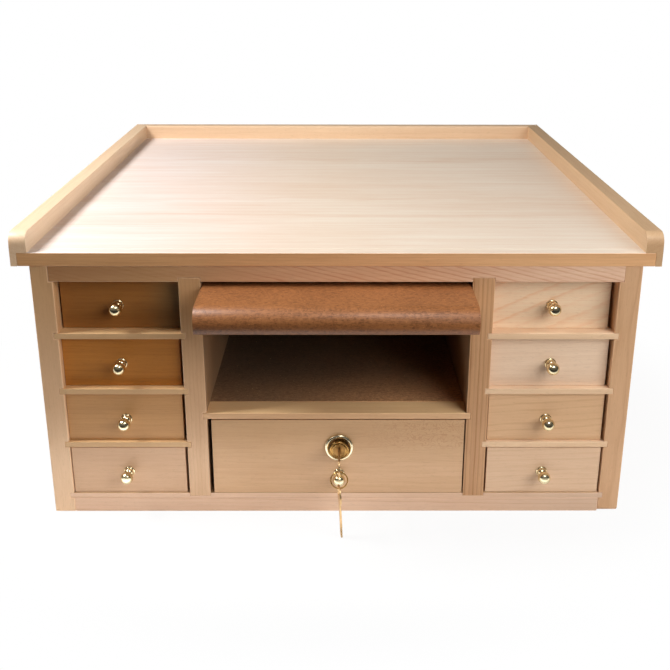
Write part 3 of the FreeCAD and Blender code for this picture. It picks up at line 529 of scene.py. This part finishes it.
# Darker wood for the dividers' faces inside the storage bay: painted shade of the bay.
bay_shade_wood = wood("bay_wall_painted_shade", (168, 132, 99), (140, 103, 70), "Z", 35, (-0.6, -0.3), 0.004, figure=0.2)
inner_wood = wood("inner_wood", (209, 172, 136), (178, 136, 98), "X", 37, (0.1, 0.4), 0.006)
kick_wood = wood("kick_wood", (233, 198, 170), (201, 158, 125), "X", 41, (-0.26, 0.3), 0.0046, lean=0.015,
                 figure=0.3, wave=0.5, cloud=0.4, thin=0.3,
                 fade=[("X", 0.12, 0.24, (0.87, 0.89, 0.90), 0.03)])
nosing_wood = wood("nosing_wood", (224, 181, 138), (184, 137, 94), "X", 43, (-0.4, 0.4), 0.004, figure=0.2)
drawer_wood = box_wood("drawer_side_wood", "Y", 47)
drawer_back_wood = box_wood("drawer_back_wood", "X", 53)
runner_wood = wood("runner_wood", (226, 198, 158), (194, 156, 112), "Y", 59, (0.3, 0.4), 0.004, rough=0.5)
back_ply = plywood("back_plywood", (222, 190, 150), (186, 146, 104), "Z", 61)
bottom_ply = plywood("bottom_plywood", (214, 182, 142), (180, 140, 98), "X", 67)

small_fronts = {
    # left_a to left_c are darker and more orange the higher they sit: painted shade. left_a's fade paints its
    # right end greyer and bluer, a painted shadow.
    "left_a": front_wood("la", (168, 112, 55), (131, 79, 33), 71, (-0.26, 0.6), 0.007, 0.12, 0.40, lean=0.05,
                         fade=[("X", -0.19, -0.15, (0.72, 1.05, 1.7), 0.02)]),
    "left_b": front_wood("lb", (193, 126, 54), (151, 89, 33), 73, (-0.26, 0.5), 0.006, 0.12, 0.40, lean=0.02),
    "left_c": front_wood("lc", (200, 150, 97), (168, 117, 70), 79, (-0.26, 0.4), 0.006, 0.15),
    "left_d": front_wood("ld", (217, 179, 144), (190, 145, 109), 83, (-0.26, 0.3), 0.006, 0.1),
    "right_a": front_wood("ra", (241, 218, 186), (229, 170, 124), 89, (-0.262, 0.097), 0.013, 0.34,
                          lean=-0.45, wave=0.7, thin=0.5),
    "right_b": front_wood("rb", (240, 212, 184), (212, 174, 141), 97, (-0.27, 0.4), 0.005, 0.15),
    "right_c": front_wood("rc", (224, 184, 143), (194, 149, 107), 101, (-0.268, 0.062), 0.007, 0.3,
                          lean=-0.06, wave=1.2, thin=0.5),
    "right_d": front_wood("rd", (227, 193, 161), (200, 160, 123), 103, (-0.27, -0.03), 0.006, 0.25,
                          lean=-0.03, thin=0.5),
}
# The fades darken the large front towards its top and its left end: painted shade.
large_wood = wood("large_front_wood", (222, 184, 146), (192, 148, 108), "X", 107, (-0.27, 0.5), 0.006,
                  lean=0.03, figure=0.12, wave=1.8, rough=0.42,
                  wild=(0.0, 0.09, 0.066, 0.078, (168, 108, 66), 0.28),
                  fade=[("Z", 0.045, 0.092, (0.84, 0.80, 0.72), 0.01),
                        ("X", 0.02, -0.09, (0.94, 0.91, 0.86), 0.02)])

# The fade darkens the lower part of the apron's roll, which faces down: painted shade.
dark_board = hardboard("tempered_hardboard", (164, 106, 62), (110, 66, 34), 3, 0.42,
                       fade=[("Z", 0.236, 0.222, (0.76, 0.70, 0.60))])
# The fades darken the storage floor towards the back and towards the left: painted shade in the bay.
floor_board = hardboard("storage_hardboard", (212, 158, 112), (156, 112, 78), 5, 0.45,
                        fade=[("Y", FRONT + 0.01, FRONT + 0.12, (0.50, 0.56, 0.64)),
                              ("X", 0.08, -0.10, (0.62, 0.70, 0.80))])
plain_board = hardboard("drawer_hardboard", (150, 108, 74), (108, 74, 48), 9, 0.5)

knob_brass = metal("knob_brass", (232, 216, 176), (134, 120, 84), 0.12, 1, 0.2)
barrel_brass = metal("barrel_brass", (182, 144, 86), (86, 62, 30), 0.24, 2, 0.5)
ring_brass = metal("ring_plate_brass", (224, 212, 180), (116, 108, 78), 0.2, 3, 0.3)
# The plug's brass is darker than the barrel's: painted shade of the recess it sits in.
plug_brass = metal("plug_brass", (142, 108, 64), (72, 52, 28), 0.28, 4, 0.5)
key_brass = metal("key_brass", (226, 190, 140), (142, 110, 74), 0.36, 5, 0.3)
zinc = metal("zinc_plate", (196, 196, 190), (120, 118, 110), 0.3, 6, 0.35)
wire_metal = metal("ring_wire", (204, 160, 92), (124, 88, 44), 0.26, 7, 0.25)

# ---- Worktop, carcase, tray and drawers ---------------------------------------------------------

RAIL_CURVE = 282.5 * MM         # the curve at a rail's nose is above this height
RAIL_ROUNDING = 2.6             # mm


def top_edges(across):
    """A test for a rail's upper edges that run along it, down the curve of its nose too."""
    return lambda one, two: abs(one[across] - two[across]) < ALIGNED and min(one.z, two.z) > RAIL_CURVE


board("worktop_panel", worktop_wood, 0.4)
paint(board("worktop_lipping", lipping_wood, 0.8), worktop_wood, toward(0, 0, 1))
board("worktop_rail_left", rail_left_painted_light_wood, 0.8, (top_edges(0), RAIL_ROUNDING))
board("worktop_rail_right", rail_right_wood, 0.8, (top_edges(0), RAIL_ROUNDING))
board("worktop_rail_back", rail_back_wood, 0.8, (top_edges(1), RAIL_ROUNDING))
board("side_left", side_left_wood, 0.9)
board("side_right", side_right_wood, 0.9)
# The dividers' faces inside the bay take the darker bay wood: painted shade.
paint(board("divider_left", divider_left_wood, 0.8), bay_shade_wood, toward(1, 0, 0))
paint(board("divider_right", divider_right_wood, 0.8), bay_shade_wood, toward(-1, 0, 0))
board("top_front_rail", top_rail_wood, 0.5)
board("top_back_rail", inner_wood, 0.5)
# The shelves' top faces take the lighter ledge woods: painted light.
paint(board("shelves_left", shelf_left_wood, 0.5), ledge_painted_light_wood, toward(0, 0, 1))
paint(board("shelves_right", shelf_wood, 0.5), ledge_right_painted_light_wood, toward(0, 0, 1))
paint(board("bottom_board", bottom_ply, 0.4), kick_wood,
      lambda normal, centre: normal.y < -0.3 and centre.y < FRONT + 2 * MM)
board("bottom_front_rail", kick_wood, 0.8)
board("back_panel", back_ply, 0.4)
# The nosing's top face takes the lighter ledge wood: painted light.
paint(board("storage_nosing", nosing_wood, 0.8), ledge_painted_light_wood, toward(0, 0, 1))
board("storage_floor", floor_board, 0.3)
board("tray_runners", runner_wood, 0.4)
board("tray_apron", dark_board, 0.5)
board("tray_floor", plain_board, 0.3)
for drawer, material in small_fronts.items():
    board(f"drawer_{drawer}_front", material, 0.8)
board("large_drawer_front", large_wood, 0.9)
board("large_drawer_side_left", drawer_wood, 0.6)
board("large_drawer_side_right", drawer_wood, 0.6)
board("large_drawer_back", drawer_back_wood, 0.6)
board("large_drawer_bottom", plain_board, 0.3)
carried("tray_frame", runner_wood)
for drawer in small_fronts:
    carried(f"drawer_{drawer}_box", drawer_wood)

# ---- Knobs --------------------------------------------------------------------------------------

KNOB_FOOT = ([(0.0, 0.0), (5.7, 0.0)] + arc(5.35, 0.45, 0.35, -60, 60, 4)[1:-1] + [(5.5, 0.95), (5.1, 1.25)]
             + [(4.7, 1.4)] + arc(0.0, 1.4, 4.8, 12, 54, 8))
KNOB_NECK = [(2.74, 5.6), (2.66, 6.2), (2.66, 6.9), (2.74, 7.4)]
KNOB_BALL = arc(0.0, 13.2, 6.2, -63, 90, 28)[:-1] + [(0.0, 19.4)]
SCREW_HEAD = [(0.0, -1.8), (1.5, -1.75), (2.8, -1.5), (3.6, -0.9), (4.0, 0.0)]
SHANK_RADIUS = 1.7
SHANK_SHORT = 0.2               # how far the shank ends behind the front's face


def knob(drawer):
    """A drawer's turned knob and, on the inside of its front, the round-head screw that holds it."""
    low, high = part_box(drawer + "_knob")
    x, z = (low.x + high.x) / 2, (low.z + high.z) / 2
    face, back = (corner.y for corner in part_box(drawer + "_front"))
    tip = (back - face) / MM - SHANK_SHORT
    screw = SCREW_HEAD + [(SHANK_RADIUS, 0.0), (SHANK_RADIUS, 0.4), (SHANK_RADIUS, tip), (0.0, tip)]
    turned(drawer + "_knob", knob_brass, (KNOB_FOOT + KNOB_NECK + KNOB_BALL, (x, face, z), KNOB_STEPS),
           (screw, (x, back, z), SCREW_STEPS))


for drawer in small_fronts:
    knob("drawer_" + drawer)
knob("large_drawer")

# ---- Lock and keys ------------------------------------------------------------------------------

low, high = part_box("lock_ring_plate")
lock = ((low.x + high.x) / 2, high.y, (low.z + high.z) / 2)     # where its axis meets the drawer's face
rear = (lock[1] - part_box("lock_barrel")[1].y) / MM
rim = [(9.1, 2.0), (9.6, 2.6)] + arc(8.9, 7.8, 0.7, 0, 90, 8)
groove = [(8.6, 8.4), (8.4, 7.7), (8.1, 7.5), (7.6, 7.5), (7.4, 8.1)]
inner_ring = arc(6.95, 8.3, 0.45, 0, 180, 8) + [(6.4, 8.0)]
barrel = [(6.08, rear), (9.1, rear)] + rim + groove + inner_ring + [(6.08, 8.0), (6.08, rear)]
plate = [(10.3, 0.02), (14.4, 0.02)] + arc(12.35, 1.2, 2.05, 0, 180, 16) + [(10.3, 0.02)]
turned("lock_barrel", barrel_brass, (barrel, lock, RING_STEPS), sharp=True)
turned("lock_ring_plate", ring_brass, (plate, lock, RING_STEPS), sharp=True)
board("lock_plug", plug_brass, 0.25)
board("key", key_brass, 0.3)
board("spare_key", key_brass, 0.3)
carried("lock_nut", zinc)
carried("lock_cam", zinc)
carried("key_ring", wire_metal)

# ---- Floor --------------------------------------------------------------------------------------

bm = bmesh.new()
bmesh.ops.create_grid(bm, x_segments=24, y_segments=24, size=6.0)
floor_mesh = bpy.data.meshes.new("floor")
bm.to_mesh(floor_mesh)
bm.free()
floor = bpy.data.objects.new("floor", floor_mesh)
floor.location = (0, 0, -0.2 * MM)
bpy.context.scene.collection.objects.link(floor)

# White paper that ends a short way in front of the bench. Away from the bench the camera sees it evenly
# bright, and so do reflections beside and behind the bench's front.
g = Graph(bpy.data.materials.new("floor_paper"))
ray = g.node("ShaderNodeLightPath").outputs
(x, y, z), _ = g.place(0)
sheet = g.spread(y, FRONT - 0.24, FRONT - 0.12)
mirrored = g.times(g.spread(y, FRONT - 0.08, FRONT - 0.03),
                   g.math("MAXIMUM", ray["Is Glossy Ray"], ray["Is Transmission Ray"]))
away = g.spread(g.length(x, y), 0.36, 0.52, 0.92, 1.0)
grain = g.times(g.noise((x, y, z), (90.0, 90.0, 1.0), 3.0), 0.06)
white = g.mix(grain, srgb(244, 243, 241), srgb(232, 231, 229))
paper = g.node("ShaderNodeBsdfDiffuse", {"Color": g.mix(sheet, srgb(60, 60, 60), white)})
glow = g.node("ShaderNodeEmission", {"Color": (1, 1, 1, 1), "Strength": 1.0})
seen = g.times(g.math("MAXIMUM", ray["Is Camera Ray"], mirrored), away)
blended = g.node("ShaderNodeMixShader", {0: seen, 1: paper.outputs[0], 2: glow.outputs[0]})
g.node("ShaderNodeOutputMaterial", {"Surface": blended.outputs[0]})
floor_mesh.materials.append(g.owner)

# ---- Light --------------------------------------------------------------------------------------

scene = bpy.context.scene
scene.world = bpy.data.worlds.new("studio")
g = Graph(scene.world)
way = g.node("ShaderNodeTexCoord").outputs["Generated"]
ray = g.node("ShaderNodeLightPath").outputs


def lobe(direction, start, stop, strength):
    """Soft light from one side of the studio."""
    facing = g.node("ShaderNodeVectorMath", {0: way, 1: direction}, operation="DOT_PRODUCT")
    return g.times(g.spread(facing.outputs["Value"], start, stop), strength)


dim = g.math("ADD", lobe((0, 0, 1), 0.3, 1.0, 0.03), 0.012)
room = g.math("ADD", lobe((0, -0.25, 0.97), 0.55, 0.9, 0.2), 0.10)     # what metal reflects besides
dim = g.math("MULTIPLY_ADD", ray["Is Glossy Ray"], room, dim)
strength = g.node("ShaderNodeMix", {0: ray["Is Camera Ray"], 2: dim, 3: 1.0}, data_type="FLOAT").outputs[0]
sky = g.node("ShaderNodeBackground", {"Color": (1, 1, 1, 1), "Strength": strength})
g.node("ShaderNodeOutputWorld", {"Surface": sky.outputs[0]})


def lamp(name, where, target, size, watts):
    data = bpy.data.lights.new(name, "AREA")
    data.shape = "RECTANGLE"
    data.size, data.size_y = size
    data.energy = watts
    item = bpy.data.objects.new(name, data)
    item.location = where
    item.rotation_euler = (Vector(target) - Vector(where)).to_track_quat("-Z", "Y").to_euler()
    bpy.context.scene.collection.objects.link(item)
    item.visible_camera = False
    return item


def sheen(*settings):
    """A lamp that shows only as a reflection, in varnish and metal."""
    lamp(*settings).visible_diffuse = False


lamp("upper_left", (-0.85, -0.25, 1.12), (0.0, -0.05, 0.25), (0.40, 0.40), 19.3)
lamp("front_right", (0.74, -0.98, 0.68), (0.05, -0.27, 0.13), (0.9, 0.9), 11.6).visible_glossy = False
lamp("low_middle", (0.0, FRONT - 0.085, 0.004), (0.0, FRONT - 0.05, 0.1), (0.5, 0.10), 0.075)
lamp("rear", (0.5, 1.35, 0.28), (0.0, 0.3, 0.15), (0.6, 0.3), 12).visible_glossy = False
for side, x, watts in (("left", -0.21, 0.082), ("middle", 0.01, 0.031), ("right", 0.23, 0.022)):
    sheen("sheen_" + side, (x, FRONT - 0.045, 0.028), (x, FRONT, 0.028), (0.22, 0.056), watts)
sheen("sheen_high", (0.25, -0.85, 1.09), (0.05, -0.32, 0.23), (0.45, 0.24), 3.6)

# ---- Camera -------------------------------------------------------------------------------------

STANDPOINT = (0.0012239, -1.125438, 0.533573)
TILT, ROLL, PAN = 70.616942, -0.104795, -0.236856       # degrees

camera_data = bpy.data.cameras.new("camera")
camera_data.sensor_width = 36.0
camera_data.sensor_fit = "HORIZONTAL"
camera_data.lens = 51.745
camera_data.shift_x = -0.01094
camera_data.shift_y = -0.05902
camera_data.clip_start = 0.05
camera = bpy.data.objects.new("camera", camera_data)
turn = Euler([math.radians(angle) for angle in (TILT, ROLL, PAN)]).to_matrix().to_4x4()
camera.matrix_world = Matrix.Translation(STANDPOINT) @ turn
scene.collection.objects.link(camera)
scene.camera = camera
scene.view_settings.view_transform = "Standard"
